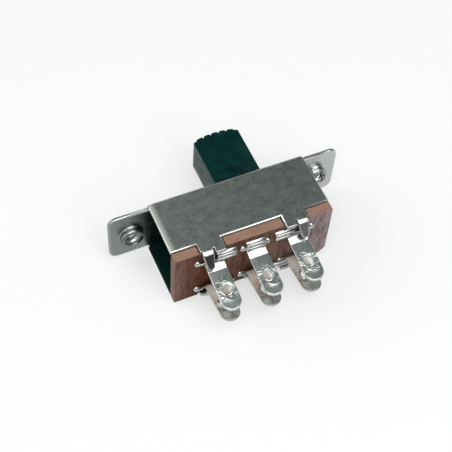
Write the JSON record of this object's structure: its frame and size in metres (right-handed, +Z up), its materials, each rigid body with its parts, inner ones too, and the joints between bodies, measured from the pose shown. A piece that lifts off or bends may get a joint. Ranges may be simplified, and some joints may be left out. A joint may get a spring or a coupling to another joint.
{
  "type": "slide switch",
  "caption": "Panel-mount slide switch: a folded steel frame with tapped ears, a ridged plastic knob that slides along its slot, and a crimped-on terminal board with solder lugs.",
  "frame": {"origin": "midway between the two mounting holes, on the panel face of the frame", "axes": "+X along the body and the slider's travel, +Y out of the panel face along the knob, +Z up from the wall that the part lies on"},
  "size_m": [0.035, 0.0277, 0.0108],
  "materials": {
    "frame_steel": "bright plated sheet",
    "board_laminate": "resin-bonded paper laminate",
    "knob_plastic": "satin moulding",
    "lug_metal": "tin-plated",
    "shoe_brass": "bright",
    "spring_steel": "drawn wire"
  },
  "bodies": {
    "housing": {"frame": "frame_steel", "terminal_board": "board_laminate", "terminal_upper_left": "lug_metal", "terminal_upper_middle": "lug_metal", "terminal_upper_right": "lug_metal", "terminal_lower_left": "lug_metal", "terminal_lower_middle": "lug_metal", "terminal_lower_right": "lug_metal"},
    "actuator": {"slider": "knob_plastic", "contact_shoe_upper": "shoe_brass", "contact_shoe_lower": "shoe_brass", "shoe_spring_upper": "spring_steel", "shoe_spring_lower": "spring_steel"}
  },
  "joints": [
    {"name": "slide", "type": "slide", "parent": "housing", "child": "actuator", "axis": [1, 0, 0], "range_m": [-0.0054, 0]}
  ]
}
